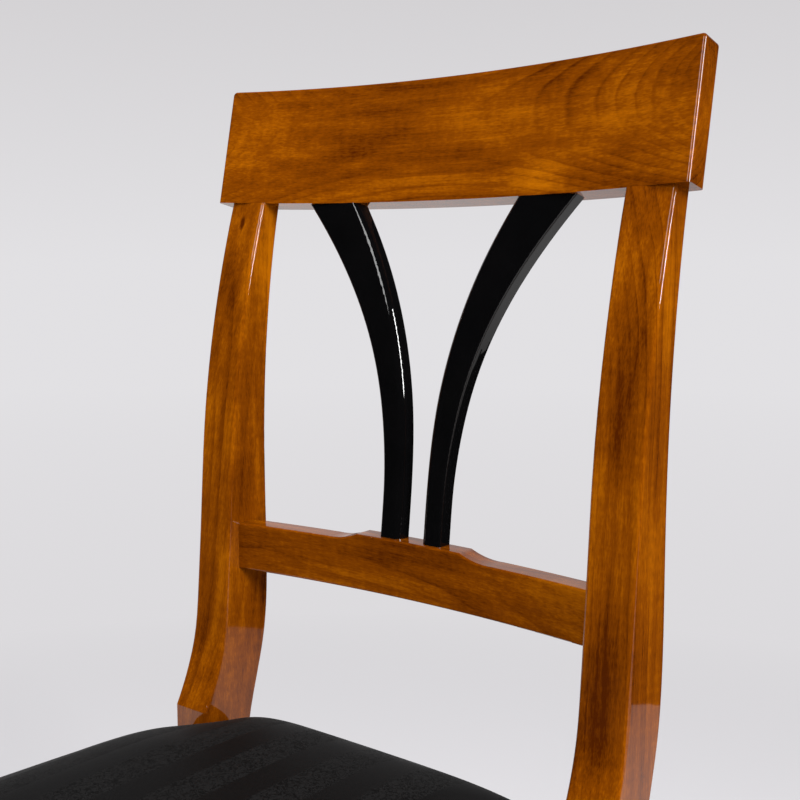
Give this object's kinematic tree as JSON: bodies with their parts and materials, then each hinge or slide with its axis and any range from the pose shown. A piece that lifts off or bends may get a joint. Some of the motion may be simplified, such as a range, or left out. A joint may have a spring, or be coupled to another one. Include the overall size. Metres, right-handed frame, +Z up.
{
  "type": "dining chair",
  "caption": "Wooden dining chair with a hollow crest rail, forked black splats, a tablet rail, swept rear legs and a striped, crowned seat pad.",
  "frame": {"origin": "on the floor, in the middle of the chair's width and depth", "axes": "+Z up, the chair faces -Y, +X to the right for someone who stands in front of it"},
  "size_m": [0.4556, 0.52, 0.9216],
  "materials": {
    "cherry": "high gloss clear lacquer over amber cherry",
    "black_lacquer": "high gloss black lacquer",
    "beech": "bare sanded beech",
    "screw_steel": "zinc plated",
    "webbing": "woven jute",
    "hessian": "coarse open weave",
    "foam": "soft open foam",
    "striped_cloth": "black tone on tone stripes, plain and figured",
    "dust_cloth": "thin black lining",
    "nylon": "brown nylon"
  },
  "bodies": {
    "root": {"rear_leg_left": "cherry", "rear_leg_right": "cherry", "front_leg_left": "cherry", "front_leg_right": "cherry", "crest_rail": "cherry", "cross_rail": "cherry", "seat_rail_front": "cherry", "seat_rail_rear": "cherry", "seat_rail_left": "cherry", "seat_rail_right": "cherry", "splat_left": "black_lacquer", "splat_right": "black_lacquer", "corner_block_front_left": "beech", "corner_block_front_right": "beech", "corner_block_rear_left": "beech", "corner_block_rear_right": "beech", "crest_dowels": "beech", "cross_rail_dowels": "beech", "splat_dowels": "beech", "seat_frame_dowels": "beech", "seat_frame_front": "beech", "seat_frame_rear": "beech", "seat_frame_left": "beech", "seat_frame_right": "beech", "corner_block_screws": "screw_steel", "seat_screws": "screw_steel", "webbing_tacks": "screw_steel", "webbing_lengthwise": "webbing", "webbing_crosswise": "webbing", "hessian": "hessian", "seat_foam": "foam", "seat_cover": "striped_cloth", "dust_cover": "dust_cloth", "glide_front_left": "nylon", "glide_front_right": "nylon", "glide_rear_left": "nylon", "glide_rear_right": "nylon"}
  },
  "joints": []
}
